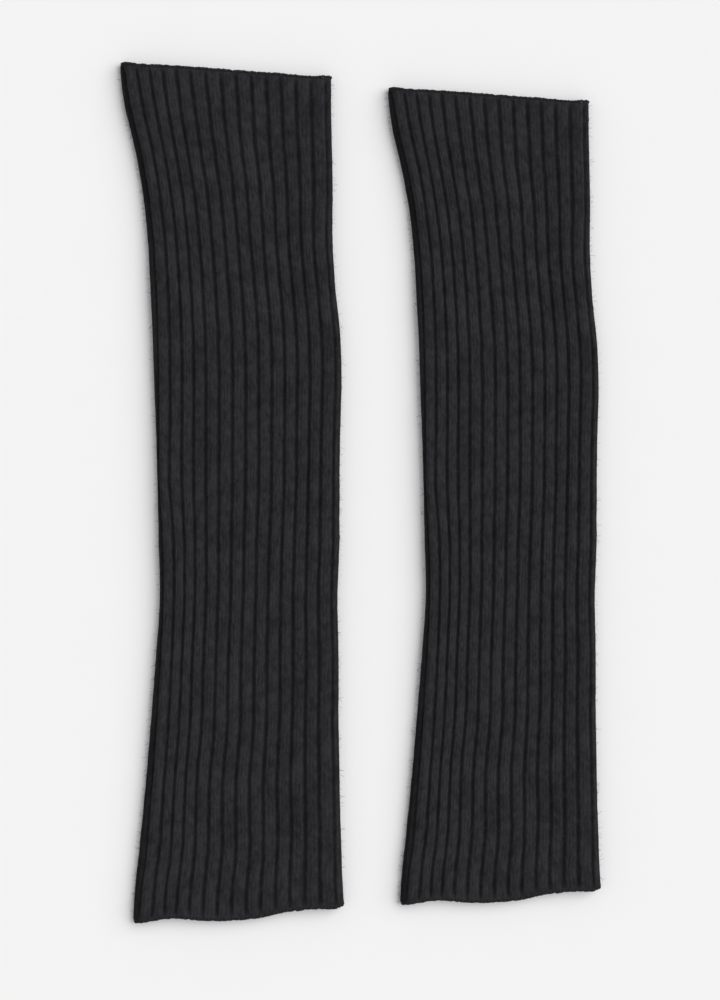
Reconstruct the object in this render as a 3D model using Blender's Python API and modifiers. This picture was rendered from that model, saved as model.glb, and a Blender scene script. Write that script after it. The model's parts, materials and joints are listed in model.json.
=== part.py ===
"""A pair of rib-knitted leg warmers laid flat side by side.

Each leg warmer is one knitted tube, open at both ends. It lies on its back: the lower layer is flat on z = 0, the
upper layer lies just above it, and the cloth rounds over from one to the other at the two folds. The upper layer
sinks a little between the folds, and carries the rib's grooves. The second tube is the first one, slightly smaller.

Distances in the tables and constants are in millimetres, and the model is in metres.
"""

import math

import bpy
import numpy as np

MM = 0.001

# The cloth
WALL = 3.0  # thickness of the knitted wall
LAID = 9.0  # height of the flattened tube at its folds
SINK = 1.6  # how far the upper layer sinks between the folds
SINK_AT_MOUTH = 0.7  # and at the two open ends, where the layers part a little
SINK_REACH = 24.0  # distance from a fold over which the upper layer sinks
MOUTH_REACH = 30.0  # distance from an open end over which the layers part

# Soft hollows in the upper layer: the middle of each along the tube and as a share of its width, how long and how
# broad it is, and its depth.
HOLLOWS = (
    # along, across, length, breadth, depth
    (168, 0.72, 60, 34, 0.8),
    (20, 0.24, 80, 26, 0.6),
    (-66, 0.30, 56, 30, 0.8),
    (-100, 0.84, 70, 24, 0.6),
    (-158, 0.70, 60, 40, 0.7),
    (-222, 0.42, 50, 44, 0.8),
)

# The ribs
RIBS_ROUND = 30  # ribs round the whole tube
FRONT_GROOVES = 14  # grooves between the two folds of the upper layer
GROOVE_DEPTH = 1.2
SHOULDER = 0.28  # share of a rib from its groove to its flat top
LOWEST_FACING = -0.3  # grooves end where the cloth faces further down than this, near the flat underside

# The outline of the first tube, from its bottom end to its top end, about its own middle.
# left and right are its folds. first and last are the distances, over the surface, from the left fold's outermost
# line to the first groove and from the last groove to the right fold's outermost line.
OUTLINE_COLUMNS = ("along", "left", "right", "first", "last")
OUTLINE = (
    (-254, -63.2, 62.6, 14.5, 7.3),
    (-210, -59.5, 60.0, 14.3, 7.2),
    (-170, -55.5, 59.0, 13.0, 7.0),
    (-122, -51.3, 58.5, 12.4, 7.2),
    (-85, -48.2, 58.4, 11.8, 6.8),
    (-50, -47.2, 58.4, 10.8, 6.6),
    (-5, -48.4, 59.0, 9.8, 6.7),
    (42, -49.6, 59.6, 10.4, 6.6),
    (66, -50.5, 60.2, 11.2, 6.2),
    (90, -51.3, 59.6, 12.2, 5.8),
    (125, -53.1, 56.2, 13.0, 5.5),
    (160, -55.5, 54.9, 13.2, 5.6),
    (196, -60.8, 54.9, 12.6, 5.4),
    (220, -66.1, 54.4, 12.8, 5.6),
    (254, -70.8, 54.0, 13.2, 5.6),
)
# The open ends, from the left fold (across 0) to the right fold (across 1)
TOP_END = ((0.0, 253.5), (0.25, 251.5), (0.5, 249.0), (0.75, 246.7), (1.0, 245.4))
BOTTOM_END = ((0.0, -253.7), (0.14, -251.2), (0.3, -251.6), (0.55, -251.0), (0.72, -247.5), (0.85, -245.4), (1.0, -243.0))

# Where the two tubes lie
GAP_CENTRES = 154.6  # from one tube's middle to the other's, across
SECOND_LOWER = 2.0  # the second tube's middle lies this much nearer the bottom
SECOND_SCALE = 0.95

# The mesh
STATIONS = 18  # rings along the tube
UNDER_STEP = 2  # ribs between two points of the flat underside

FOLD_RADIUS = LAID / 2
HALF_TURN = math.pi * FOLD_RADIUS  # cloth in one fold, from the lower layer to the upper one


def smooth(edge0, edge1, value):
    """0 up to edge0, 1 from edge1, and an eased step between them."""
    share = min(max((value - edge0) / (edge1 - edge0), 0.0), 1.0)
    return share * share * (3.0 - 2.0 * share)


def eased(points, at):
    """Reads a short table of (place, value) rows on a smooth curve through them."""
    places, values = np.array(points, float).T
    slopes = np.gradient(values, places)
    i = int(np.clip(np.searchsorted(places, at) - 1, 0, len(places) - 2))
    gap = places[i + 1] - places[i]
    s = np.clip((at - places[i]) / gap, 0.0, 1.0)
    rise = values[i + 1] - values[i]
    ends = slopes[i] * gap * s * (1 - s) ** 2 - slopes[i + 1] * gap * s * s * (1 - s)
    return float(values[i] + rise * s * s * (3 - 2 * s) + ends)


def outline(column, along):
    """One column of the outline table, at a distance along the tube."""
    k = OUTLINE_COLUMNS.index(column)
    return eased([(row[0], row[k]) for row in OUTLINE], along)


def along_tube(share, across):
    """The distance along the tube of the ring at that share of it, where it crosses that share of the width."""
    low, high = eased(BOTTOM_END, across), eased(TOP_END, across)
    return low + share * (high - low)


def ring_places():
    """The places round the tube that its rings have points at, counted in ribs from the groove next to the left fold."""
    ribbed = [rib + step for rib in range(-1, FRONT_GROOVES + 2) for step in (0.0, SHOULDER, 1.0 - SHOULDER)]
    under = range(FRONT_GROOVES + 2, RIBS_ROUND - 1, UNDER_STEP)
    return ribbed + list(under)


def over_surface(place, along, half_round):
    """Distance over the surface from the left fold's outermost line to a place counted in ribs."""
    first, last = outline("first", along), half_round - outline("last", along)
    if 1 <= place <= FRONT_GROOVES:
        return first + (place - 1) / (FRONT_GROOVES - 1) * (last - first)
    back_pitch = (2 * half_round - last + first) / (RIBS_ROUND - FRONT_GROOVES + 1)
    if place < 1:
        return first - (1 - place) * back_pitch
    return last + (place - FRONT_GROOVES) * back_pitch


def profile(distance, width):
    """The flattened tube's outside at a distance over its surface: across, up, and the way out."""
    flat = width - 2 * FOLD_RADIUS
    quarter = HALF_TURN / 2
    distance = (distance + quarter) % (2 * (flat + HALF_TURN))  # now from the foot of the left fold
    if distance < HALF_TURN:
        turn = distance / FOLD_RADIUS
        out = (-math.sin(turn), -math.cos(turn))
        return FOLD_RADIUS * (1 + out[0]), FOLD_RADIUS * (1 + out[1]), out
    distance -= HALF_TURN
    if distance < flat:
        return FOLD_RADIUS + distance, LAID, (0.0, 1.0)
    distance -= flat
    if distance < HALF_TURN:
        turn = distance / FOLD_RADIUS
        out = (math.sin(turn), math.cos(turn))
        return width - FOLD_RADIUS * (1 - out[0]), FOLD_RADIUS * (1 + out[1]), out
    return width - FOLD_RADIUS - (distance - HALF_TURN), 0.0, (0.0, -1.0)


def sink(across, width, along):
    """How far the upper layer has sunk towards the lower one."""
    from_fold = min(across, width - across) - FOLD_RADIUS
    from_mouth = min(along - along_tube(0.0, across / width), along_tube(1.0, across / width) - along)
    depth = SINK_AT_MOUTH + (SINK - SINK_AT_MOUTH) * smooth(0.0, MOUTH_REACH, from_mouth)
    for middle, share, length, breadth, deep in HOLLOWS:
        off = math.hypot((along - middle) / length, (across - share * width) / breadth)
        depth += deep * math.exp(-4.0 * off * off)
    return depth * smooth(0.0, SINK_REACH, from_fold)


def ring_point(place, share):
    """A point of the tube's outside, in millimetres, and whether it is down in a groove."""
    along = along_tube(share, 0.5)
    for _ in range(3):  # the ring slants, so its width is read where the point lies
        left, right = outline("left", along), outline("right", along)
        width = right - left
        half_round = width - 2 * FOLD_RADIUS + HALF_TURN
        across, up, out = profile(over_surface(place, along, half_round), width)
        along = along_tube(share, across / width)
    if out[1] > 0:
        up -= sink(across, width, along) * out[1]
    in_groove = place == int(place) and 0 <= place <= FRONT_GROOVES + 1 and out[1] > LOWEST_FACING
    if in_groove:
        across, up = across - GROOVE_DEPTH * out[0], up - GROOVE_DEPTH * out[1]
    return (left + across, along, up), in_groove


def make_tube(name, scale, material, parts):
    """One leg warmer: its outside lofted through rings, and Solidify for the knitted wall."""
    places = ring_places()
    count = len(places)
    points, grooves = [], []
    for station in range(STATIONS):
        for place in places:
            point, in_groove = ring_point(place, station / (STATIONS - 1))
            if in_groove:
                grooves.append(len(points))
            points.append([scale * MM * value for value in point])
    faces = []
    for station in range(STATIONS - 1):
        for i in range(count):
            here, after = station * count + i, station * count + (i + 1) % count
            faces.append((here, after, after + count, here + count))
    mesh = bpy.data.meshes.new(name)
    mesh.from_pydata(points, [], faces)
    mesh.materials.append(material)
    tube = bpy.data.objects.new(name, mesh)
    parts.objects.link(tube)

    full = tube.vertex_groups.new(name="full_wall")
    full.add([i for i in range(len(points)) if i not in set(grooves)], 1.0, "REPLACE")
    wall = tube.modifiers.new("knitted wall", "SOLIDIFY")
    wall.thickness = scale * MM * WALL
    wall.offset = -1.0
    wall.use_even_offset = True
    wall.vertex_group = full.name
    wall.thickness_vertex_group = 1.0 - GROOVE_DEPTH / WALL  # the cloth left under a groove
    return tube


def knit_material():
    """Charcoal rib knit."""
    material = bpy.data.materials.new("charcoal rib knit")
    material.use_nodes = True
    shader = material.node_tree.nodes["Principled BSDF"]
    shader.inputs["Base Color"].default_value = (0.020, 0.020, 0.022, 1.0)
    shader.inputs["Roughness"].default_value = 0.95
    shader.inputs["Metallic"].default_value = 0.0
    return material


def centre_pair(tubes):
    """Moves the tubes so that the pair's box has its middle over the origin."""
    corners = []
    for tube in tubes:
        places = np.array([vertex.co for vertex in tube.data.vertices])
        corners += [places.min(0) + tube.location, places.max(0) + tube.location]
    middle = (np.min(corners, 0) + np.max(corners, 0)) / 2
    for tube in tubes:
        tube.location.x -= middle[0]
        tube.location.y -= middle[1]


def main():
    for old in list(bpy.data.objects):
        bpy.data.objects.remove(old)
    parts = bpy.data.collections.new("leg_warmers")
    bpy.context.scene.collection.children.link(parts)
    first = make_tube("left_leg_warmer", 1.0, knit_material(), parts)
    second = make_tube("right_leg_warmer", SECOND_SCALE, knit_material(), parts)
    first.location = (-GAP_CENTRES / 2 * MM, 0.0, 0.0)
    second.location = (GAP_CENTRES / 2 * MM, -SECOND_LOWER * MM, 0.0)
    centre_pair([first, second])


main()
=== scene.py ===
"""A pair of rib-knitted leg warmers laid flat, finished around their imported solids.

Each leg warmer is one knitted tube, open at both ends. Its smooth wall is worked out ring by ring from the
outline tables below. Geometry Nodes then raise the ribs and their wales on it, bind off its two ends with a
chain of loops, and scatter the loose fibres. Distances in the tables are in millimetres, and the scene is in
metres.
"""

import json
import math

import bpy
import numpy as np
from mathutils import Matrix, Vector

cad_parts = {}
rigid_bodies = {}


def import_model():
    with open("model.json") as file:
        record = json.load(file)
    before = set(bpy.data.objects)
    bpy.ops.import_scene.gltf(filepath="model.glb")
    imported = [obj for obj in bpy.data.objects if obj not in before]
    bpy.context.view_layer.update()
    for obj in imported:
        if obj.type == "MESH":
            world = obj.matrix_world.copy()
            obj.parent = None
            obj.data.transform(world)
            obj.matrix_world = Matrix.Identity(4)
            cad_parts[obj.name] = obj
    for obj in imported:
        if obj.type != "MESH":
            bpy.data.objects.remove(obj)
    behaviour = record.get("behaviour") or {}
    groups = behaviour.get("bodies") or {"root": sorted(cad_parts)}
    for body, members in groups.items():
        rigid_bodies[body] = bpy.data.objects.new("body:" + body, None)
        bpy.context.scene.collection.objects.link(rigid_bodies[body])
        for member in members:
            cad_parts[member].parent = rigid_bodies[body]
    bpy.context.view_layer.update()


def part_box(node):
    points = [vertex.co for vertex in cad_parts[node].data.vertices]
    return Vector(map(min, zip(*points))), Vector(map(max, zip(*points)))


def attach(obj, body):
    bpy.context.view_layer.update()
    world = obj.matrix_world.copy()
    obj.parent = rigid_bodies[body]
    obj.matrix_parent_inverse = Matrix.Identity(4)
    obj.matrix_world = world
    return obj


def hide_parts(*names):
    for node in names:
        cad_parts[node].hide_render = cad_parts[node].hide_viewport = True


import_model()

bl_info = {
    "name": "Rib-knitted leg warmers",
    "version": (1, 0, 0),
    "blender": (4, 5, 0),
    "location": "3D View > Sidebar > Leg warmers",
    "description": "Builds a pair of rib-knitted leg warmers laid flat",
    "category": "Add Mesh",
}

MM = 0.001
SIDES = ("left", "right")
NODE_OF = {side: f"{side}_leg_warmer" for side in SIDES}

# The outline of the first tube, from its bottom end to its top end, about its own middle, in millimetres.
# left, right: the folds. first, last: from the left fold to the first groove and from the last groove to the
# right fold, seen from above. lean: how far the middle ribs sway to the right. left_turn, right_turn: breadth
# of each fold's rounding.
OUTLINE_COLUMNS = ("along", "left", "right", "first", "last", "lean", "left_turn", "right_turn")
OUTLINE = (
    (-254, -63.2, 62.6, 11.6, 4.8, -3.6, 7.0, 5.0),
    (-240, -62.5, 61.4, 11.8, 4.7, -3.8, 8.5, 5.0),
    (-210, -59.5, 60.0, 12.4, 4.1, -3.0, 8.5, 4.6),
    (-170, -55.5, 59.0, 11.2, 3.6, -4.2, 7.5, 4.4),
    (-134, -52.5, 58.5, 10.6, 4.1, -2.5, 6.6, 4.4),
    (-99, -49.6, 58.4, 9.5, 3.4, -3.3, 5.2, 4.4),
    (-64, -47.2, 57.9, 8.4, 4.1, -2.4, 4.2, 4.4),
    (-28, -47.8, 59.0, 8.8, 4.1, -2.3, 3.8, 4.4),
    (7, -48.7, 59.1, 7.2, 4.1, 0.0, 3.8, 4.4),
    (42, -49.6, 59.6, 8.4, 4.1, -0.3, 4.0, 4.4),
    (66, -50.5, 60.2, 9.4, 3.9, -0.7, 4.2, 4.4),
    (90, -51.3, 59.6, 10.0, 3.6, -0.8, 4.6, 4.4),
    (125, -53.1, 56.2, 10.6, 3.2, -1.1, 5.6, 4.4),
    (150, -54.5, 54.9, 10.3, 3.9, -1.2, 6.6, 4.4),
    (184, -58.4, 54.9, 10.2, 3.1, -2.4, 7.8, 4.4),
    (208, -63.1, 54.3, 10.8, 2.8, -3.2, 7.6, 4.4),
    (231, -68.4, 53.9, 10.8, 2.9, -2.4, 6.6, 4.8),
    (254, -70.8, 54.0, 9.0, 3.0, -2.4, 6.0, 5.0),
)
# The open ends, from the left fold (across 0) to the right fold (across 1).
END_COLUMNS = ("across", "along")
TOP_END = (
    (0.0, 253.6),
    (0.07, 252.5),
    (0.25, 251.4),
    (0.5, 249.0),
    (0.75, 246.7),
    (0.97, 245.2),
    (1.0, 245.6),
)
BOTTOM_END = (
    (0.0, -253.8),
    (0.06, -252.8),
    (0.14, -251.0),
    (0.24, -250.8),
    (0.34, -251.9),
    (0.5, -251.4),
    (0.6, -250.2),
    (0.72, -246.8),
    (0.85, -245.0),
    (0.96, -244.6),
    (1.0, -243.4),
)
# Soft hollows in the upper layer.
HOLLOW_COLUMNS = ("along", "across", "length", "breadth", "depth")
HOLLOWS = (
    (168, 0.72, 60, 34, 0.8),
    (20, 0.24, 80, 26, 0.6),
    (-66, 0.30, 56, 30, 0.8),
    (-100, 0.84, 70, 24, 0.6),
    (-158, 0.70, 60, 40, 0.7),
    (-222, 0.42, 50, 44, 0.8),
)
RIBS_ROUND = 30
FRONT_GROOVES = 14
RIB_PITCH = 7.5  # millimetres of cloth to a rib, laid flat
# How far each front groove lies to the right of even spacing.
RIB_SHIFT = (0, -0.4, -0.8, -1.1, -0.8, -0.3, 0, 0.3, 0.4, 0.5, 0.2, 0, -0.3, 0)
UNDER_TURN = 4.5  # breadth of the folds' rounding below
SINK = 1.6  # how far the upper layer sinks between the folds
SINK_AT_MOUTH = 0.7
SINK_REACH = 24.0
MOUTH_REACH = 30.0

# The grid that a tube is made on.
SEAM = -7.5  # where the grid closes: the middle of the underside, in ribs from the first groove
FINE_FROM, FINE_TO = -1.0, 16.0  # the ribs that show
FINE_STEPS, COARSE_STEPS = 14, 8  # columns to a rib where it shows, and underneath
OUTSIDE_ROWS, INSIDE_ROWS, RIM_ROWS = 236, 14, 5
SECTION_STEPS = 40
RIGHT_PAINTED_SHADE = 0.4  # the right fold's painted shade, beside 1 at the left fold's flared ends
LEFT_PAINTED_SHADE = 0.35  # the same painted shade of the left fold where it is sharp
SHARP_TURN, BROAD_TURN = 4.0, 8.5  # the left fold's rounding where it is sharp and where it is broad
EDGE_REACH = 1.1  # how far the bound-off loops reach past the wall's rim
RIGHT_EDGE = 6 * SECTION_STEPS - 3  # the section's point at the right fold's outermost line
INNER_UPPER, INNER_LOWER = 3.3, 2.9  # the two layers' inner faces stay above the one and below the other
WALE_MARGIN = 0.12  # share of a rib on each side that has no wale
FULL_TURN = 2.0 * math.pi

KNIT_UV = "Knit"
UV_UNIT = RIB_PITCH  # millimetres to one unit along the tube, so that both ways have one scale


class Column:
    """One column of a table, read on a smooth curve through its rows."""

    def __init__(self, rows, columns, name):
        self.places = np.array([row[0] for row in rows], float)
        self.values = np.array([row[columns.index(name)] for row in rows], float)
        self.slopes = np.gradient(self.values, self.places)

    def __call__(self, at):
        i = np.clip(np.searchsorted(self.places, at) - 1, 0, len(self.places) - 2)
        gap = self.places[i + 1] - self.places[i]
        s = np.clip((at - self.places[i]) / gap, 0.0, 1.0)
        rise = self.values[i + 1] - self.values[i]
        ends = self.slopes[i] * gap * s * (1 - s) ** 2 - self.slopes[i + 1] * gap * s * s * (1 - s)
        return self.values[i] + rise * s * s * (3 - 2 * s) + ends


OUTLINE_AT = {name: Column(OUTLINE, OUTLINE_COLUMNS, name) for name in OUTLINE_COLUMNS[1:]}
TOP_AT = Column(TOP_END, END_COLUMNS, "along")
BOTTOM_AT = Column(BOTTOM_END, END_COLUMNS, "along")


def smooth(edge0, edge1, value):
    """0 up to edge0, 1 from edge1, and an eased step between them."""
    share = np.clip((value - edge0) / (edge1 - edge0), 0.0, 1.0)
    return share * share * (3.0 - 2.0 * share)


# ---------------------------------------------------------------- nodes


class Term:
    """A node's output. Python's arithmetic on it adds Math nodes."""

    def __init__(self, nodes, socket):
        self.nodes = nodes
        self.socket = socket

    def math(self, operation, *others):
        return self.nodes.add("ShaderNodeMath", {"operation": operation}, dict(enumerate((self, *others))))

    def output(self, name):
        """Another output of the same node."""
        return Term(self.nodes, self.nodes.socket(self.socket.node.outputs, name))

    def __add__(self, other):
        return self.math("ADD", other)

    def __radd__(self, other):
        return self.math("ADD", other)

    def __sub__(self, other):
        return self.math("SUBTRACT", other)

    def __rsub__(self, other):
        return self.nodes.add("ShaderNodeMath", {"operation": "SUBTRACT"}, {0: other, 1: self})

    def __mul__(self, other):
        return self.math("MULTIPLY", other)

    def __rmul__(self, other):
        return self.math("MULTIPLY", other)

    def __truediv__(self, other):
        return self.math("DIVIDE", other)

    def __rtruediv__(self, other):
        return self.nodes.add("ShaderNodeMath", {"operation": "DIVIDE"}, {0: other, 1: self})

    def __pow__(self, other):
        return self.math("POWER", other)


class Nodes:
    """Adds nodes to one tree."""

    def __init__(self, tree):
        self.tree = tree

    @staticmethod
    def socket(sockets, key):
        """The socket at that number, or the one in use that has that name."""
        if isinstance(key, int):
            return sockets[key]
        return next(s for s in sockets if s.name == key and s.enabled)

    def feed(self, socket, value):
        """Links a socket to a term, or sets its value."""
        if isinstance(value, Term):
            self.tree.links.new(value.socket, socket)
        else:
            socket.default_value = value

    def add(self, kind, settings=None, inputs=None, output=0):
        """A new node: its type, then its settings, then the values or links of its sockets."""
        node = self.tree.nodes.new(kind)
        for name, value in (settings or {}).items():
            setattr(node, name, value)
        for key, value in (inputs or {}).items():
            self.feed(self.socket(node.inputs, key), value)
        return Term(self, self.socket(node.outputs, output)) if len(node.outputs) else None

    def eased(self, value, low, high, to_low=0.0, to_high=1.0):
        """An eased step of a value from to_low at low to to_high at high."""
        ranges = {"Value": value, "From Min": low, "From Max": high, "To Min": to_low, "To Max": to_high}
        return self.add("ShaderNodeMapRange", {"interpolation_type": "SMOOTHSTEP"}, ranges)

    def noise(self, vector, scale, detail=2.0, roughness=0.5):
        """Noise about 0, from about -0.5 to 0.5."""
        values = {"Vector": vector, "Scale": scale, "Detail": detail, "Roughness": roughness}
        return self.add("ShaderNodeTexNoise", {}, values) - 0.5

    def scaled(self, vector, by):
        """A vector times another one, axis by axis."""
        return self.add("ShaderNodeVectorMath", {"operation": "MULTIPLY"}, {0: vector, 1: by})

    def random(self, kind, low, high, seed):
        """A random value or vector for each point."""
        limits = {"Min": low, "Max": high, "Seed": seed}
        return self.add("FunctionNodeRandomValue", {"data_type": kind}, limits, "Value")

    def mix(self, share, a, b):
        """A colour between a and b."""
        return self.add("ShaderNodeMix", {"data_type": "RGBA"}, {"Factor": share, "A": a, "B": b}, "Result")


def geometry_tree(name, inputs):
    """A new Geometry Nodes tree with those named inputs. Returns its nodes and a term for each input."""
    tree = bpy.data.node_groups.new(name, "GeometryNodeTree")
    tree.interface.new_socket("Geometry", in_out="INPUT", socket_type="NodeSocketGeometry")
    for label, kind in inputs:
        tree.interface.new_socket(label, in_out="INPUT", socket_type=kind)
    tree.interface.new_socket("Geometry", in_out="OUTPUT", socket_type="NodeSocketGeometry")
    nodes = Nodes(tree)
    first = nodes.add("NodeGroupInput")
    return nodes, {label: first.output(label) for label in ("Geometry", *(label for label, _ in inputs))}


def close_tree(nodes, geometry, material):
    """Ends a Geometry Nodes tree: instances made real, nothing below the floor, and the material set."""
    real = nodes.add("GeometryNodeRealizeInstances", {}, {"Geometry": geometry})
    place = nodes.add("GeometryNodeInputPosition")
    x, y, z = (nodes.add("ShaderNodeSeparateXYZ", {}, {0: place}, k) for k in range(3))
    on_floor = nodes.add("ShaderNodeCombineXYZ", {}, {0: x, 1: y, 2: z.math("MAXIMUM", 0.0)})
    rested = nodes.add("GeometryNodeSetPosition", {}, {"Geometry": real, "Position": on_floor})
    done = nodes.add("GeometryNodeSetMaterial", {}, {"Geometry": rested, "Material": material})
    nodes.add("NodeGroupOutput", {}, {0: done})


def grown(name, source, tree, values):
    """A new piece: what the tree makes of the source object, as a plain mesh at the origin."""
    modifier = source.modifiers.new(name, "NODES")
    modifier.node_group = tree
    named = {item.name: item.identifier for item in tree.interface.items_tree if item.in_out == "INPUT"}
    for label, value in values.items():
        modifier[named[label]] = value
    evaluated = source.evaluated_get(bpy.context.evaluated_depsgraph_get())
    mesh = bpy.data.meshes.new_from_object(evaluated)
    mesh.name = name
    source.modifiers.remove(modifier)
    piece = bpy.data.objects.new(name, mesh)
    bpy.context.scene.collection.objects.link(piece)
    return piece


# ---------------------------------------------------------------- the tube's smooth form


def sink(x, y, width, low, high):
    """How far the upper layer has sunk towards the lower one, at places across and along it."""
    from_fold = np.minimum(x, width - x) - UNDER_TURN
    from_mouth = np.minimum(y - low, high - y)
    depth = SINK_AT_MOUTH + (SINK - SINK_AT_MOUTH) * smooth(0.0, MOUTH_REACH, from_mouth)
    for along, across, length, breadth, deep in HOLLOWS:
        off = ((y - along) / length) ** 2 + ((x - across * width) / breadth) ** 2
        depth = depth + deep * np.exp(-4.0 * off)
    return depth * smooth(0.0, SINK_REACH, from_fold)


def section(width, laid, left_turn, right_turn):
    """One ring of the tube's outside, from the left fold over the top and back below: across and up."""
    turn = np.linspace(0.0, math.pi / 2, SECTION_STEPS)
    middle = laid / 2
    left_middle = laid * np.interp(left_turn, (SHARP_TURN, BROAD_TURN), (0.5, 0.24))
    top = np.linspace(left_turn, width - right_turn, 4 * SECTION_STEPS)[1:-1]
    under = np.linspace(width - UNDER_TURN, UNDER_TURN, 4 * SECTION_STEPS)[1:-1]
    across = (
        left_turn * (1 - np.cos(turn)),
        top,
        width - right_turn * (1 - np.sin(turn)),
        (width - UNDER_TURN * (1 - np.cos(turn)))[1:],
        under,
        UNDER_TURN * (1 - np.sin(turn)),
    )
    up = (
        left_middle + (laid - left_middle) * np.sin(turn) ** 1.25,
        np.full(len(top), laid),
        middle * (1 + np.cos(turn)),
        middle * (1 - np.sin(turn))[1:],
        np.zeros(len(under)),
        left_middle * (1 - np.cos(turn)),
    )
    return np.concatenate(across), np.concatenate(up)


def columns():
    """The grid's places round the tube, counted in ribs from the groove beside the left fold."""
    fine = np.arange(FINE_FROM, FINE_TO, 1.0 / FINE_STEPS)
    before = np.arange(SEAM, FINE_FROM, 1.0 / COARSE_STEPS)
    after = np.arange(FINE_TO, SEAM + RIBS_ROUND, 1.0 / COARSE_STEPS)
    return np.concatenate([before, fine, after, [SEAM + RIBS_ROUND]])


def rows(wall):
    """The grid's rows round the wall: share of the length, depth in the wall, reach past the end, relief."""
    outside = np.linspace(0.0, 1.0, OUTSIDE_ROWS)
    turn = np.linspace(0.0, math.pi, RIM_ROWS + 2)[1:-1]
    inside = np.linspace(1.0, 0.0, INSIDE_ROWS)
    rim_depth, rim_reach = wall / 2 * (1 - np.cos(turn)), wall / 2 * np.sin(turn)
    table = [(share, 0.0, 0.0, 1.0) for share in outside]
    table += [(1.0, depth, reach, 0.0) for depth, reach in zip(rim_depth, rim_reach)]
    table += [(share, wall, 0.0, 0.0) for share in inside]
    table += [(0.0, depth, -reach, 0.0) for depth, reach in zip(rim_depth[::-1], rim_reach)]
    return table


def over_surface(places, over, across, width, along):
    """Distances over the surface of places counted in ribs, on one ring at that distance along the tube."""
    upper = slice(0, int(np.argmax(across)) + 1)
    first = np.interp(OUTLINE_AT["first"](along), across[upper], over[upper])
    last = np.interp(width - OUTLINE_AT["last"](along), across[upper], over[upper])
    back_pitch = (over[-1] - last + first) / (RIBS_ROUND - FRONT_GROOVES + 1)
    q = (places - 1) / (FRONT_GROOVES - 1)
    uneven = np.interp(places, range(1, FRONT_GROOVES + 1), RIB_SHIFT)
    front = first + q * (last - first) + OUTLINE_AT["lean"](along) * 4 * q * (1 - q) + uneven
    before = first - (1 - places) * back_pitch
    after = last + (places - FRONT_GROOVES) * back_pitch
    return np.where(places < 1, before, np.where(places > FRONT_GROOVES, after, front)) % over[-1]


def tube_form(laid, wall):
    """The wall without its ribs, in millimetres: points, ways out, relief, the folds' painted shade, columns'
    places.
    """
    places = columns()
    table = rows(wall)
    points = np.zeros((len(table), len(places), 3))
    outward = np.zeros_like(points)
    relief = np.zeros(points.shape[:2])
    shade = np.zeros(points.shape[:2])
    for i, (share, depth, reach, raised) in enumerate(table):
        low, high = BOTTOM_AT, TOP_AT
        ends = [low(t) + wall / 2 + share * (high(t) - low(t) - wall) for t in (0.0, 1.0)]
        left, right = OUTLINE_AT["left"](ends[0]), OUTLINE_AT["right"](ends[1])
        width, middle = right - left, sum(ends) / 2
        x, z = section(width, laid, OUTLINE_AT["left_turn"](middle), OUTLINE_AT["right_turn"](middle))
        t = x / width
        y = low(t) + wall / 2 + share * (high(t) - low(t) - wall)
        upper = np.arange(len(x)) <= RIGHT_EDGE
        z = z - np.where(upper, sink(x, y, width, low(t), high(t)), 0.0)
        over = np.concatenate([[0.0], np.cumsum(np.hypot(np.diff(x), np.diff(z)))])
        out_x, out_z = -np.gradient(z, over), np.gradient(x, over)
        at = over_surface(places, over, x, width, middle)
        x, y, z, out_x, out_z = (np.interp(at, over, values) for values in (x, y, z, out_x, out_z))
        size = np.hypot(out_x, out_z)
        outward[i] = np.stack([out_x / size, np.zeros(len(x)), out_z / size], 1)
        inner_x = np.clip(x - wall * outward[i, :, 0], 0.8 * wall, width - 0.8 * wall)
        inner_z = z - wall * outward[i, :, 2]
        above, below = np.maximum(inner_z, INNER_UPPER), np.minimum(inner_z, INNER_LOWER)
        inner_z = np.where(at < over[RIGHT_EDGE], above, below)
        into = depth / wall
        points[i] = np.stack([left + x + into * (inner_x - x), y + reach, z + into * (inner_z - z)], 1)
        from_end = np.minimum(y - low(x / width), high(x / width) - y)
        relief[i] = raised * (0.35 + 0.65 * smooth(1.0, 5.0, from_end))
        # Painted shade: the yarn's colour darkens where the wall turns down at the folds, most at the left
        # fold's flared ends, away from the key light on the right.
        breadths = (SHARP_TURN, BROAD_TURN - 1)
        left_painted_shade = np.interp(OUTLINE_AT["left_turn"](middle), breadths, (LEFT_PAINTED_SHADE, 1.0))
        turned = 1.0 - smooth(0.5, 0.99, np.abs(outward[i, :, 2]))
        shade[i] = turned * np.where(x < width / 2, left_painted_shade, RIGHT_PAINTED_SHADE)
    return points, outward, relief, shade, places


def placed(points, box):
    """The form's points in metres, sized to the solid's box and set in it, with room for the edges' loops."""
    low, high = np.array(box[0]), np.array(box[1])
    form_low, form_high = points.min((0, 1)), points.max((0, 1))
    scale = (high - low)[0] / (form_high - form_low)[0]
    along = ((high - low)[1] - 2 * EDGE_REACH * MM) / (form_high - form_low)[1]
    scales = np.array([scale, along, scale])
    shift = (low + high) / 2 - scales * (form_low + form_high) / 2
    shift[2] = low[2]
    return points * scales + shift, scale


def store(mesh, name, kind, values):
    """Keeps a value for each point of a mesh."""
    field = "value" if kind == "FLOAT" else "vector"
    mesh.attributes.new(name, kind, "POINT").data.foreach_set(field, np.asarray(values, np.float32).ravel())


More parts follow.
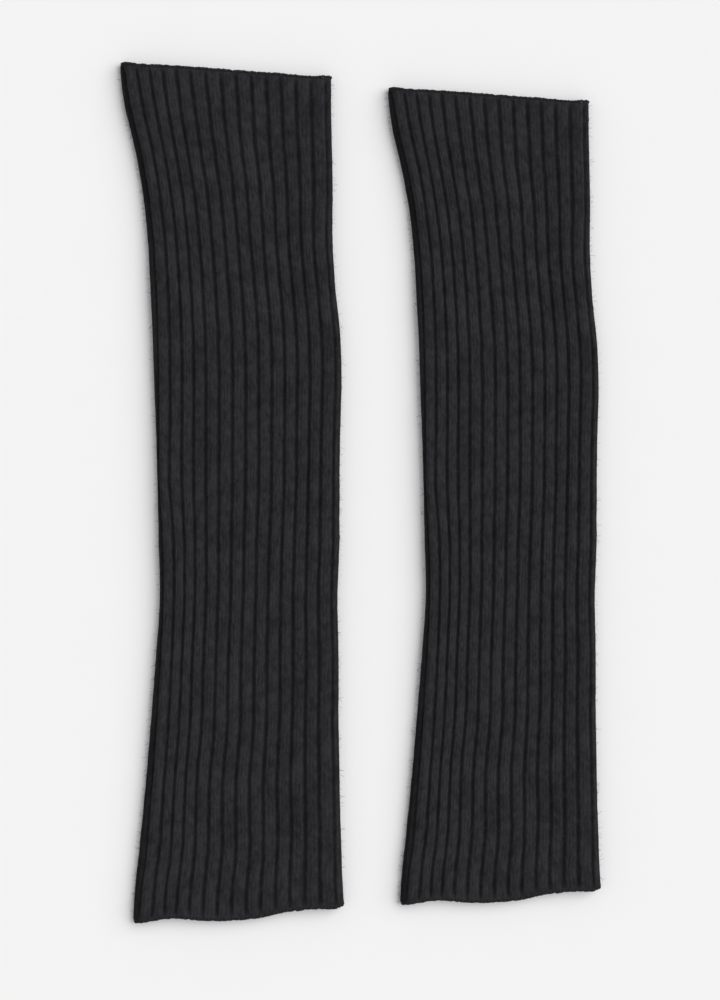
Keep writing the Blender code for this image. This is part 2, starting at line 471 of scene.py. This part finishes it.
def smooth_tube(name, box, knit):
    """One tube's smooth wall as an object, open along the middle of its underside, ready for its ribs."""
    wall = knit.wall / MM
    points, outward, relief, shade, places = tube_form(knit.laid / MM, wall)
    metres, scale = placed(points, box)
    row_count, column_count = relief.shape
    index = np.arange(row_count * column_count).reshape(row_count, column_count)
    here, above = index[:, :-1], np.roll(index, -1, 0)[:, :-1]
    faces = np.stack([here, here + 1, above + 1, above], -1).reshape(-1, 4)
    mesh = bpy.data.meshes.new(name)
    mesh.from_pydata(metres.reshape(-1, 3), [], faces.tolist())

    angle = FULL_TURN * places / RIBS_ROUND
    radius = RIB_PITCH * RIBS_ROUND / FULL_TURN
    circle = np.stack([radius * np.cos(angle), radius * np.sin(angle)], -1)
    around = np.broadcast_to(circle, (*relief.shape, 2))
    as_knitted = np.concatenate([around, points[..., 1:2]], -1) * MM
    store(mesh, "rib", "FLOAT", np.broadcast_to(places, relief.shape))
    store(mesh, "relief", "FLOAT", relief)
    # The attribute "turn" carries the folds' painted shade to the material.
    store(mesh, "turn", "FLOAT", shade)
    store(mesh, "out", "FLOAT_VECTOR", outward * scale / MM)
    store(mesh, "as_knitted", "FLOAT_VECTOR", as_knitted)

    front = points[:, column_count // 2]
    step = np.linalg.norm(np.diff(front, axis=0, append=front[:1]), axis=1)
    travelled = np.concatenate([[0.0], np.cumsum(step)]) / UV_UNIT
    r, c = np.divmod(faces, column_count)
    next_row = r - r[:, :1]
    v = travelled[np.where(next_row < 0, row_count, r)]
    uv = np.stack([places[c], v], -1)
    mesh.uv_layers.new(name=KNIT_UV).uv.foreach_set("vector", uv.astype(np.float32).ravel())
    tube = bpy.data.objects.new(name, mesh)
    bpy.context.scene.collection.objects.link(tube)
    return tube, scale, points


# ---------------------------------------------------------------- Geometry Nodes trees


def attribute(nodes, name, kind="FLOAT"):
    """What the mesh keeps for each point under that name."""
    return nodes.add("GeometryNodeInputNamedAttribute", {"data_type": kind}, {"Name": name}, "Attribute")


def rib_tree():
    """Raises the ribs and their wales on a smooth tube, and closes it along its underside."""
    nodes, given = geometry_tree(
        "Raise the ribs",
        (
            ("Groove depth", "NodeSocketFloat"),
            ("Groove share", "NodeSocketFloat"),
            ("Crown", "NodeSocketFloat"),
            ("Wales", "NodeSocketFloat"),
            ("Wale depth", "NodeSocketFloat"),
            ("Wander", "NodeSocketFloat"),
            ("Unevenness", "NodeSocketFloat"),
            ("Material", "NodeSocketMaterial"),
        ),
    )
    knitted = attribute(nodes, "as_knitted", "FLOAT_VECTOR")
    slow = nodes.scaled(knitted, (1.0, 1.0, 0.45))
    wander = (0.6 * nodes.noise(slow, 90.0) + 0.8 * nodes.noise(slow, 420.0)) * given["Wander"]
    place = attribute(nodes, "rib") + wander
    near = place.math("PINGPONG", 0.5)
    depth_varies = 1.0 + 0.9 * nodes.noise(slow, 230.0)
    share = given["Groove share"] * (1.0 + 0.7 * nodes.noise(slow, 310.0))
    groove = nodes.eased(near, 0.0, share, 1.0, 0.0)
    wale = (place.math("FRACT") - WALE_MARGIN) / (1.0 - 2.0 * WALE_MARGIN) * given["Wales"]
    ripple = ((wale - 0.5) * FULL_TURN).math("COSINE") * (0.5 + 1.5 * nodes.noise(slow, 170.0))
    crown = (1.0 - 2.0 * near) ** 2.0
    uneven = nodes.noise(slow, 260.0, 3.0) * given["Unevenness"]
    height = ripple * given["Wale depth"] * (1.0 - groove) + uneven
    height = height - groove * depth_varies * given["Groove depth"] - crown * given["Crown"]
    height = height * attribute(nodes, "relief")
    out = attribute(nodes, "out", "FLOAT_VECTOR")
    offset = nodes.add("ShaderNodeVectorMath", {"operation": "SCALE"}, {"Vector": out, "Scale": height})
    moved = nodes.add("GeometryNodeSetPosition", {}, {"Geometry": given["Geometry"], "Offset": offset})
    # The groove mask goes to the material, which paints shade into the grooves with it.
    kept = {"Geometry": moved, "Name": "groove", "Value": groove * attribute(nodes, "relief")}
    marked = nodes.add("GeometryNodeStoreNamedAttribute", {"data_type": "FLOAT", "domain": "POINT"}, kept)
    closed = nodes.add("GeometryNodeMergeByDistance", {}, {"Geometry": marked, "Distance": 0.02 * MM})
    shaded = nodes.add("GeometryNodeSetShadeSmooth", {}, {"Geometry": closed, "Shade Smooth": True})
    close_tree(nodes, shaded, given["Material"])
    return nodes.tree


def edge_tree():
    """Sets a chain of loops along a mouth's line of points."""
    nodes, given = geometry_tree(
        "Bind off the ends",
        (
            ("Loops", "NodeSocketInt"),
            ("Loop length", "NodeSocketFloat"),
            ("Yarn radius", "NodeSocketFloat"),
            ("Seed", "NodeSocketInt"),
            ("Material", "NodeSocketMaterial"),
        ),
    )
    line = nodes.add("GeometryNodeMeshToCurve", {}, {"Mesh": given["Geometry"]})
    spaced = nodes.add("GeometryNodeResampleCurve", {}, {"Curve": line, "Count": given["Loops"]})
    half = given["Loop length"] * 0.5
    ring = nodes.add("GeometryNodeCurvePrimitiveCircle", {}, {"Resolution": 12, "Radius": half})
    narrow = nodes.add("GeometryNodeTransform", {}, {"Geometry": ring, "Scale": (1.0, 0.5, 1.0)})
    round_ = {"Resolution": 6, "Radius": given["Yarn radius"]}
    strand = nodes.add("GeometryNodeCurvePrimitiveCircle", {}, round_)
    loop = nodes.add("GeometryNodeCurveToMesh", {}, {"Curve": narrow, "Profile Curve": strand})
    tangent = nodes.add("GeometryNodeInputTangent")
    along = nodes.add("FunctionNodeAlignRotationToVector", {"axis": "X"}, {"Vector": tangent})
    spin = nodes.random("FLOAT_VECTOR", (0.15, 0.25, -0.35), (0.75, 0.65, 0.35), given["Seed"])
    tilt = nodes.add("FunctionNodeEulerToRotation", {}, {0: spin})
    turned = nodes.add("FunctionNodeRotateRotation", {"rotation_space": "LOCAL"}, {0: along, 1: tilt})
    size = nodes.random("FLOAT", 0.88, 1.16, given["Seed"])
    placing = {"Points": spaced, "Instance": loop, "Rotation": turned, "Scale": size}
    links = nodes.add("GeometryNodeInstanceOnPoints", {}, placing)
    chain = nodes.add("GeometryNodeRealizeInstances", {}, {"Geometry": links})
    shaded = nodes.add("GeometryNodeSetShadeSmooth", {}, {"Geometry": chain, "Shade Smooth": True})
    close_tree(nodes, shaded, given["Material"])
    return nodes.tree


def fuzz_tree():
    """Scatters loose fibres over the outside of a finished tube."""
    nodes, given = geometry_tree(
        "Raise the fuzz",
        (
            ("Density", "NodeSocketFloat"),
            ("Fibre length", "NodeSocketFloat"),
            ("Fibre radius", "NodeSocketFloat"),
            ("Seed", "NodeSocketInt"),
            ("Material", "NodeSocketMaterial"),
        ),
    )
    normal = nodes.add("GeometryNodeInputNormal")
    facing = nodes.add("ShaderNodeSeparateXYZ", {}, {0: normal}, 2)
    shown = facing.math("GREATER_THAN", -0.3) * attribute(nodes, "relief").math("GREATER_THAN", 0.3)
    # The folds' painted-shade mask is read here only as where the folds turn, for more fibres there.
    density = given["Density"] * (1.0 + 5.0 * attribute(nodes, "turn"))
    picked = {"Mesh": given["Geometry"], "Selection": shown, "Density": density, "Seed": given["Seed"]}
    method = {"distribute_method": "RANDOM"}
    scattered = nodes.add("GeometryNodeDistributePointsOnFaces", method, picked, "Points")
    reach = given["Fibre length"]
    middle = nodes.add("ShaderNodeCombineXYZ", {}, {0: reach * 0.18, 1: 0.0, 2: reach * 0.55})
    end = nodes.add("ShaderNodeCombineXYZ", {}, {0: reach * 0.62, 1: reach * 0.12, 2: reach * 0.72})
    bend = {"Resolution": 4, "Start": (0.0, 0.0, 0.0), "Middle": middle, "End": end}
    line = nodes.add("GeometryNodeCurveQuadraticBezier", {}, bend)
    round_ = {"Resolution": 3, "Radius": given["Fibre radius"]}
    hair = nodes.add("GeometryNodeCurvePrimitiveCircle", {}, round_)
    fibre = nodes.add("GeometryNodeCurveToMesh", {}, {"Curve": line, "Profile Curve": hair})
    low, high = (-1.25, -1.25, -math.pi), (1.25, 1.25, math.pi)
    spin = nodes.random("FLOAT_VECTOR", low, high, given["Seed"])
    tilt = nodes.add("FunctionNodeEulerToRotation", {}, {0: spin})
    upright = scattered.output("Rotation")
    turned = nodes.add("FunctionNodeRotateRotation", {"rotation_space": "LOCAL"}, {0: upright, 1: tilt})
    size = nodes.random("FLOAT", 0.45, 1.3, given["Seed"])
    placing = {"Points": scattered, "Instance": fibre, "Rotation": turned, "Scale": size}
    fibres = nodes.add("GeometryNodeInstanceOnPoints", {}, placing)
    close_tree(nodes, fibres, given["Material"])
    return nodes.tree


# ---------------------------------------------------------------- materials


def new_material(name, roughness, sheen):
    """A material with its Principled shader's constants set. Returns it, its nodes and the shader."""
    material = bpy.data.materials.new(name)
    material.use_nodes = True
    shader = material.node_tree.nodes["Principled BSDF"]
    shader.inputs["Roughness"].default_value = roughness
    shader.inputs["Specular IOR Level"].default_value = 0.1
    shader.inputs["Sheen Weight"].default_value = sheen
    shader.inputs["Sheen Roughness"].default_value = 0.5
    return material, Nodes(material.node_tree), shader


def knit_material(yarn, knit):
    """Charcoal rib knit: wales of stitches, streaked and slightly mottled yarn, and painted shade in the
    grooves and the folds' turn.
    """
    material, nodes, shader = new_material("charcoal rib knit", yarn.roughness, yarn.sheen)
    uv = nodes.add("ShaderNodeUVMap", {"uv_map": KNIT_UV})
    across = nodes.add("ShaderNodeSeparateXYZ", {}, {0: uv}, 0)
    along = nodes.add("ShaderNodeSeparateXYZ", {}, {0: uv}, 1)
    knitted = nodes.add("ShaderNodeAttribute", {"attribute_name": "as_knitted"}, {}, "Vector")
    groove = nodes.add("ShaderNodeAttribute", {"attribute_name": "groove"}, {}, "Fac")

    streaks = nodes.noise(nodes.scaled(knitted, (1.0, 1.0, 0.16)), 1150.0, 2.0, 0.6)
    mottle = nodes.noise(nodes.scaled(knitted, (1.0, 1.0, 0.7)), 260.0, 4.0, 0.7)
    patches = nodes.noise(knitted, 60.0, 2.0)
    tone = 0.5 + yarn.streaks * streaks + yarn.mottle * mottle + 0.5 * yarn.mottle * patches
    shade = nodes.mix(tone.math("MINIMUM", 1.0).math("MAXIMUM", 0.0), (*yarn.dark, 1.0), (*yarn.light, 1.0))
    # Painted shade: the grooves' bottoms, unevenly along them, and the folds' turn are darkened towards the
    # groove colour, standing in for the shade that falls there.
    spots = 0.8 + 0.8 * nodes.noise(nodes.scaled(knitted, (1.0, 1.0, 0.5)), 300.0)
    turn = nodes.add("ShaderNodeAttribute", {"attribute_name": "turn"}, {}, "Fac")
    groove_and_fold_painted_shade = (groove * yarn.groove_painted_shade * spots).math("MAXIMUM", turn * yarn.fold_painted_shade)
    groove_and_fold_painted_shade = groove_and_fold_painted_shade.math("MINIMUM", 1.0)
    nodes.feed(shader.inputs["Base Color"], nodes.mix(groove_and_fold_painted_shade, shade, (*yarn.deep, 1.0)))

    wales = (across.math("FRACT") - WALE_MARGIN) / (1.0 - 2.0 * WALE_MARGIN) * knit.wales
    wale = wales.math("FRACT") - 0.5
    off = wale.math("ABSOLUTE")
    jitter = 1.2 * nodes.noise(knitted, 190.0)
    course = along * (UV_UNIT * MM / knit.stitch_height) + off * 0.9 + jitter
    shown = (0.55 + 2.2 * nodes.noise(knitted, 150.0)).math("MAXIMUM", 0.1)
    stitch = ((course * FULL_TURN).math("COSINE") * 0.5 + 0.5) * (1.0 - (2.0 * off) ** 2.0) * shown
    fibres = nodes.noise(nodes.scaled(knitted, (1.0, 1.0, 0.35)), 2600.0, 2.0, 0.6)
    lumps = nodes.noise(nodes.scaled(knitted, (1.0, 1.0, 0.6)), 480.0, 2.0)
    height = stitch * knit.stitch_relief + fibres * yarn.fibre_relief + lumps * yarn.lump_relief
    bump = nodes.add("ShaderNodeBump", {}, {"Strength": 1.0, "Distance": 1.0, "Height": height})
    nodes.feed(shader.inputs["Normal"], bump)
    return material


def edge_material(yarn):
    """The same yarn in the bound-off loops."""
    material, nodes, shader = new_material("bound edge yarn", yarn.roughness, yarn.sheen)
    place = nodes.add("ShaderNodeTexCoord", {}, {}, "Object")
    tone = 0.5 + 1.2 * nodes.noise(place, 900.0, 2.0)
    nodes.feed(shader.inputs["Base Color"], nodes.mix(tone, (*yarn.dark, 1.0), (*yarn.light, 1.0)))
    fibres = nodes.noise(place, 2600.0, 2.0) * yarn.fibre_relief
    nodes.feed(shader.inputs["Normal"], nodes.add("ShaderNodeBump", {}, {"Distance": 1.0, "Height": fibres}))
    return material


def fuzz_material(yarn):
    """Single loose fibres, a little lighter than the yarn."""
    material, nodes, shader = new_material("loose fibres", 0.8, 0.0)
    place = nodes.add("ShaderNodeTexCoord", {}, {}, "Object")
    tone = 0.5 + 1.5 * nodes.noise(place, 500.0, 1.0)
    nodes.feed(shader.inputs["Base Color"], nodes.mix(tone, (*yarn.dark, 1.0), (*yarn.fibre, 1.0)))
    return material


def floor_material(colour):
    """Pale matte floor with the faintest grain."""
    material, nodes, shader = new_material("pale floor", 0.9, 0.0)
    place = nodes.add("ShaderNodeTexCoord", {}, {}, "Object")
    grain = 0.5 + nodes.noise(place, 40.0, 2.0)
    darker = [0.985 * value for value in colour]
    nodes.feed(shader.inputs["Base Color"], nodes.mix(grain, (*darker, 1.0), (*colour, 1.0)))
    return material


# ---------------------------------------------------------------- settings


class KnitSettings(bpy.types.PropertyGroup):
    """Sizes of the knitted cloth."""

    laid: bpy.props.FloatProperty(
        name="Laid height",
        description="Height of a flattened tube at its folds",
        default=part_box(NODE_OF["left"])[1].z,
        unit="LENGTH",
    )
    wall: bpy.props.FloatProperty(
        name="Wall",
        description="Thickness of the knitted wall",
        default=0.0029,
        unit="LENGTH",
    )
    groove_depth: bpy.props.FloatProperty(
        name="Groove depth",
        description="Depth of the grooves between ribs",
        default=0.0013,
        unit="LENGTH",
    )
    groove_share: bpy.props.FloatProperty(
        name="Groove share",
        description="Half breadth of a groove as a share of a rib",
        default=0.22,
        subtype="FACTOR",
    )
    crown: bpy.props.FloatProperty(
        name="Crown",
        description="Fall of a rib's top from its middle to its sides",
        default=0.0007,
        unit="LENGTH",
    )
    wales: bpy.props.IntProperty(
        name="Wales",
        description="Columns of stitches to a rib",
        default=3,
    )
    wale_depth: bpy.props.FloatProperty(
        name="Wale depth",
        description="Height of a wale over the line beside it",
        default=0.00022,
        unit="LENGTH",
    )
    wander: bpy.props.FloatProperty(
        name="Wander",
        description="How far the grooves stray, in ribs",
        default=0.16,
        subtype="FACTOR",
    )
    unevenness: bpy.props.FloatProperty(
        name="Unevenness",
        description="Height of the cloth's soft lumps",
        default=0.0005,
        unit="LENGTH",
    )
    stitch_height: bpy.props.FloatProperty(
        name="Stitch height",
        description="Length of one stitch along a wale",
        default=0.0019,
        unit="LENGTH",
    )
    stitch_relief: bpy.props.FloatProperty(
        name="Stitch relief",
        description="Height of a stitch's legs",
        default=0.00016,
        unit="LENGTH",
    )
    edge_loops: bpy.props.IntProperty(
        name="Edge loops",
        description="Loops in each bound-off edge",
        default=124,
    )


class YarnSettings(bpy.types.PropertyGroup):
    """Colours and surface of the yarn."""

    dark: bpy.props.FloatVectorProperty(
        name="Dark yarn",
        description="Darkest tone of the yarn",
        default=(0.0120, 0.0120, 0.0136),
        subtype="COLOR",
    )
    light: bpy.props.FloatVectorProperty(
        name="Light yarn",
        description="Lightest tone of the yarn",
        default=(0.0252, 0.0252, 0.0282),
        subtype="COLOR",
    )
    # Colour of the painted shade in the grooves and the folds' turn.
    deep: bpy.props.FloatVectorProperty(
        name="Groove",
        description="Yarn down in the grooves",
        default=(0.0043, 0.0043, 0.0050),
        subtype="COLOR",
    )
    fibre: bpy.props.FloatVectorProperty(
        name="Fibre",
        description="Lightest tone of the loose fibres",
        default=(0.05, 0.05, 0.053),
        subtype="COLOR",
    )
    # How strongly shade is painted into the grooves' bottoms.
    groove_painted_shade: bpy.props.FloatProperty(
        name="Groove shade",
        description="Share of the groove's tone at its bottom",
        default=0.64,
        subtype="FACTOR",
    )
    # How strongly shade is painted into the folds' turn.
    fold_painted_shade: bpy.props.FloatProperty(
        name="Fold shade",
        description="Share of the groove's tone in the folds' turn",
        default=1.0,
        subtype="FACTOR",
    )
    streaks: bpy.props.FloatProperty(
        name="Streaks",
        description="Strength of the fine lines along the wales",
        default=1.8,
        subtype="FACTOR",
    )
    mottle: bpy.props.FloatProperty(
        name="Mottle",
        description="Strength of the soft patches",
        default=2.5,
        subtype="FACTOR",
    )
    roughness: bpy.props.FloatProperty(
        name="Roughness",
        description="Roughness of the yarn",
        default=0.95,
        subtype="FACTOR",
    )
    sheen: bpy.props.FloatProperty(
        name="Sheen",
        description="Soft shine of the fibres",
        default=0.03,
        subtype="FACTOR",
    )
    fibre_relief: bpy.props.FloatProperty(
        name="Fibre relief",
        description="Height of the finest fibres",
        default=0.00012,
        unit="LENGTH",
    )
    lump_relief: bpy.props.FloatProperty(
        name="Lump relief",
        description="Height of uneven stitches",
        default=0.0007,
        unit="LENGTH",
    )
    fuzz_density: bpy.props.FloatProperty(
        name="Fuzz density",
        description="Loose fibres on each square metre",
        default=70000.0,
    )
    fuzz_length: bpy.props.FloatProperty(
        name="Fuzz length",
        description="Length of a loose fibre",
        default=0.0029,
        unit="LENGTH",
    )
    fuzz_radius: bpy.props.FloatProperty(
        name="Fuzz radius",
        description="Radius of a loose fibre",
        default=0.00005,
        unit="LENGTH",
    )


class StageSettings(bpy.types.PropertyGroup):
    """Floor, lights and camera."""

    floor: bpy.props.FloatVectorProperty(
        name="Floor",
        description="Colour of the floor",
        default=(0.8, 0.8, 0.8),
        subtype="COLOR",
    )
    fill: bpy.props.FloatProperty(
        name="Fill",
        description="Strength of the light from all round",
        default=0.572,
    )
    key: bpy.props.FloatProperty(
        name="Key",
        description="Strength of the soft light from the right",
        default=2.5,
    )
    key_height: bpy.props.FloatProperty(
        name="Key height",
        description="Angle of the key over the floor",
        default=math.radians(45.0),
        subtype="ANGLE",
    )
    key_turn: bpy.props.FloatProperty(
        name="Key turn",
        description="Turn of the key from straight right",
        default=math.radians(20.0),
        subtype="ANGLE",
    )
    key_spread: bpy.props.FloatProperty(
        name="Key spread",
        description="How broad the key looks",
        default=math.radians(60.0),
        subtype="ANGLE",
    )
    lens: bpy.props.FloatProperty(
        name="Lens",
        description="Focal length in millimetres",
        default=85.0,
    )
    view_length: bpy.props.FloatProperty(
        name="View length",
        description="Length that the picture takes in, half way up the cloth",
        default=0.590,
        unit="LENGTH",
    )
    view_x: bpy.props.FloatProperty(
        name="View across",
        description="Middle of the view, across",
        default=-0.0003,
        unit="LENGTH",
    )
    view_y: bpy.props.FloatProperty(
        name="View along",
        description="Middle of the view, along",
        default=-0.0041,
        unit="LENGTH",
    )


# ---------------------------------------------------------------- operators


def mouth_line(name, ring):
    """A closed line of points as an object, for a mouth's chain of loops."""
    mesh = bpy.data.meshes.new(name)
    count = len(ring)
    mesh.from_pydata(ring, [(i, (i + 1) % count) for i in range(count)], [])
    line = bpy.data.objects.new(name, mesh)
    bpy.context.scene.collection.objects.link(line)
    return line


def mouth_rings(metres):
    """The lines that the bound-off loops follow: the middle of the rim at each end."""
    top = OUTSIDE_ROWS + RIM_ROWS // 2
    bottom = OUTSIDE_ROWS + RIM_ROWS + INSIDE_ROWS + RIM_ROWS // 2
    return {"top": metres[top, :-1], "bottom": metres[bottom, :-1]}


def flat_cut(points, scale):
    """What one tube is knitted as: width all round, length and area, in metres."""
    outside = points[:OUTSIDE_ROWS]
    round_ = np.linalg.norm(np.diff(outside, axis=1), axis=2).sum(1)
    length = np.linalg.norm(np.diff(outside, axis=0), axis=2).sum(0)
    width, longest = round_.max() * scale, length.max() * scale
    return width, longest, round_.mean() * length.mean() * scale**2


class KNIT_OT_tubes(bpy.types.Operator):
    """Knit the two ribbed tubes"""

    bl_idname = "leg_warmers.knit_tubes"
    bl_label = "Ribbed tubes"

    def execute(self, context):
        knit, yarn = context.scene.knit_settings, context.scene.yarn_settings
        tree = rib_tree()
        material = knit_material(yarn, knit)
        for side in SIDES:
            node = NODE_OF[side]
            form, scale, points = smooth_tube(f"{side}_smooth_form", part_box(node), knit)
            values = {
                "Groove depth": knit.groove_depth,
                "Groove share": knit.groove_share,
                "Crown": knit.crown,
                "Wales": float(knit.wales),
                "Wale depth": knit.wale_depth,
                "Wander": knit.wander,
                "Unevenness": knit.unevenness,
                "Material": material,
            }
            tube = grown(f"{side}_ribbed_tube", form, tree, values)
            bpy.data.objects.remove(form)
            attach(tube, "root")
            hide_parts(node)
            width, length, area = flat_cut(points, scale)
            tube["flat_cut"] = [width, length, area]
        return {"FINISHED"}


class KNIT_OT_edges(bpy.types.Operator):
    """Bind off the tubes' four open ends with chains of loops"""

    bl_idname = "leg_warmers.bind_edges"
    bl_label = "Bound-off edges"

    def execute(self, context):
        knit, yarn = context.scene.knit_settings, context.scene.yarn_settings
        tree = edge_tree()
        material = edge_material(yarn)
        for side in SIDES:
            points = tube_form(knit.laid / MM, knit.wall / MM)[0]
            metres, scale = placed(points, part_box(NODE_OF[side]))
            for seed, (end, ring) in enumerate(mouth_rings(metres).items()):
                line = mouth_line(f"{side}_{end}_line", ring)
                values = {
                    "Loops": knit.edge_loops,
                    "Loop length": 3.2 * scale,
                    "Yarn radius": 0.68 * scale,
                    "Seed": seed,
                    "Material": material,
                }
                edge = grown(f"{side}_{end}_edge", line, tree, values)
                bpy.data.objects.remove(line)
                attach(edge, "root")
        return {"FINISHED"}


class KNIT_OT_fuzz(bpy.types.Operator):
    """Raise the loose fibres on the tubes"""

    bl_idname = "leg_warmers.raise_fuzz"
    bl_label = "Fuzz"

    def execute(self, context):
        yarn = context.scene.yarn_settings
        tree = fuzz_tree()
        material = fuzz_material(yarn)
        for seed, side in enumerate(SIDES):
            tube = bpy.data.objects[f"{side}_ribbed_tube"]
            values = {
                "Density": yarn.fuzz_density,
                "Fibre length": yarn.fuzz_length,
                "Fibre radius": yarn.fuzz_radius,
                "Seed": seed,
                "Material": material,
            }
            fuzz = grown(f"{side}_fuzz", tube, tree, values)
            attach(fuzz, "root")
        return {"FINISHED"}


class KNIT_OT_stage(bpy.types.Operator):
    """Set the floor, the lights and the camera"""

    bl_idname = "leg_warmers.set_stage"
    bl_label = "Stage"

    def execute(self, context):
        stage, scene = context.scene.stage_settings, context.scene
        scene.view_settings.view_transform = "Standard"
        mesh = bpy.data.meshes.new("floor")
        reach, below = 15.0, -0.2 * MM
        corners = ((-reach, -reach), (reach, -reach), (reach, reach), (-reach, reach))
        mesh.from_pydata([(x, y, below) for x, y in corners], [], [(0, 1, 2, 3)])
        mesh.materials.append(floor_material(stage.floor))
        floor = bpy.data.objects.new("floor", mesh)
        scene.collection.objects.link(floor)

        world = bpy.data.worlds.new("studio")
        world.use_nodes = True
        world.node_tree.nodes["Background"].inputs["Color"].default_value = (1.0, 1.0, 1.0, 1.0)
        world.node_tree.nodes["Background"].inputs["Strength"].default_value = stage.fill
        scene.world = world

        sun = bpy.data.lights.new("key", "SUN")
        sun.energy = stage.key
        sun.angle = stage.key_spread
        key = bpy.data.objects.new("key", sun)
        flat = math.cos(stage.key_height)
        towards = Vector(
            (flat * math.cos(stage.key_turn), flat * math.sin(stage.key_turn), math.sin(stage.key_height))
        )
        key.rotation_euler = towards.to_track_quat("Z", "Y").to_euler()
        key.location = towards
        scene.collection.objects.link(key)

        lens = bpy.data.cameras.new("camera")
        lens.lens = stage.lens
        camera = bpy.data.objects.new("camera", lens)
        distance = stage.view_length * stage.lens / lens.sensor_width
        camera.location = (stage.view_x, stage.view_y, scene.knit_settings.laid / 2 + distance)
        scene.collection.objects.link(camera)
        scene.camera = camera
        return {"FINISHED"}


class KNIT_PT_panel(bpy.types.Panel):
    """The leg warmers' pieces in the 3D view's sidebar"""

    bl_idname = "KNIT_PT_panel"
    bl_label = "Leg warmers"
    bl_space_type = "VIEW_3D"
    bl_region_type = "UI"
    bl_category = "Leg warmers"

    def draw(self, context):
        for operator in OPERATORS:
            self.layout.operator(operator.bl_idname)
        for name in SETTINGS:
            settings = getattr(context.scene, name)
            box = self.layout.box()
            for label in settings.__annotations__:
                box.prop(settings, label)


SETTINGS = {"knit_settings": KnitSettings, "yarn_settings": YarnSettings, "stage_settings": StageSettings}
OPERATORS = (KNIT_OT_tubes, KNIT_OT_edges, KNIT_OT_fuzz, KNIT_OT_stage)
CLASSES = (*SETTINGS.values(), *OPERATORS, KNIT_PT_panel)


def register():
    for made in CLASSES:
        bpy.utils.register_class(made)
    for name, group in SETTINGS.items():
        setattr(bpy.types.Scene, name, bpy.props.PointerProperty(type=group))


def unregister():
    for name in SETTINGS:
        delattr(bpy.types.Scene, name)
    for made in reversed(CLASSES):
        bpy.utils.unregister_class(made)


def main():
    register()
    bpy.ops.leg_warmers.knit_tubes()
    bpy.ops.leg_warmers.bind_edges()
    bpy.ops.leg_warmers.raise_fuzz()
    bpy.ops.leg_warmers.set_stage()


if __name__ == "__main__":
    main()
